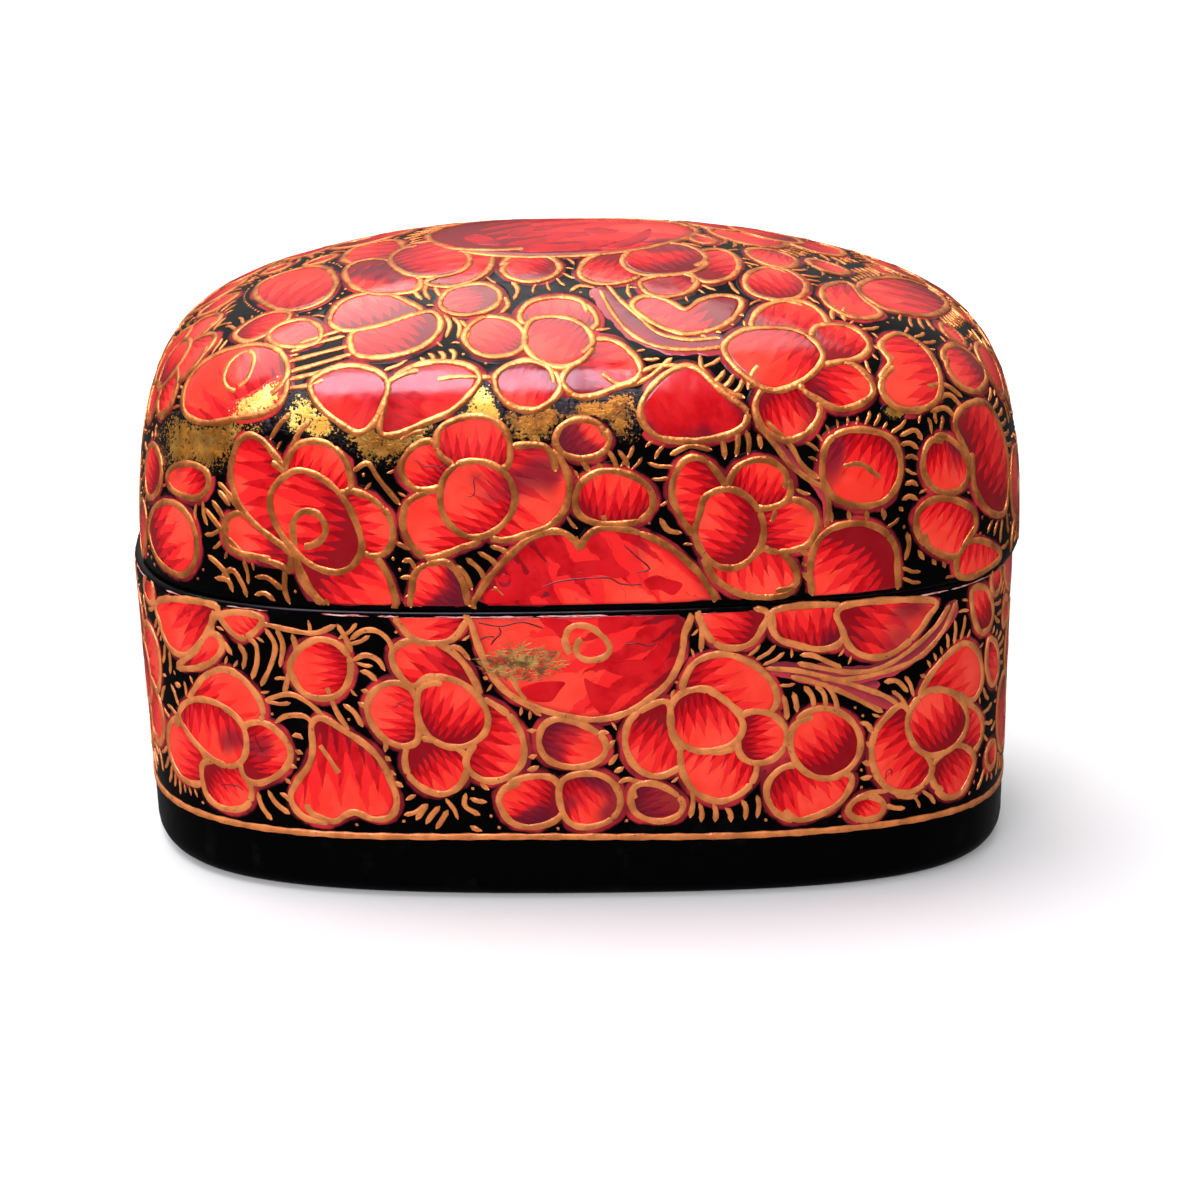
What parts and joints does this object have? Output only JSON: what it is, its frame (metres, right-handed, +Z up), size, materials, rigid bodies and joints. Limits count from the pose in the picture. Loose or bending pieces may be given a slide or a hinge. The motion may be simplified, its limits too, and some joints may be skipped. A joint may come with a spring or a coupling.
{
  "type": "lidded trinket box",
  "caption": "Small oblong papier mache trinket box with rounded corners and a domed lift-off lid over an inner locating collar.",
  "frame": {"origin": "on the surface that the box stands on, under the middle of the box", "axes": "+X along the length of the box, +Y from the front to the back, +Z up, the way the lid lifts"},
  "size_m": [0.0805, 0.054, 0.0549],
  "materials": {
    "lacquered_base": "papier mache, painted and varnished to a high gloss",
    "collar_strip": "thin pulp strip, painted black",
    "lacquered_lid": "papier mache, painted and varnished to a high gloss"
  },
  "bodies": {
    "base": {"base_shell": "lacquered_base", "inner_collar": "collar_strip"},
    "lid": {"lid_shell": "lacquered_lid"}
  },
  "joints": [
    {"name": "lid_lift", "type": "slide", "parent": "base", "child": "lid", "axis": [0, 0, 1], "range_m": [0, 0.06]}
  ]
}
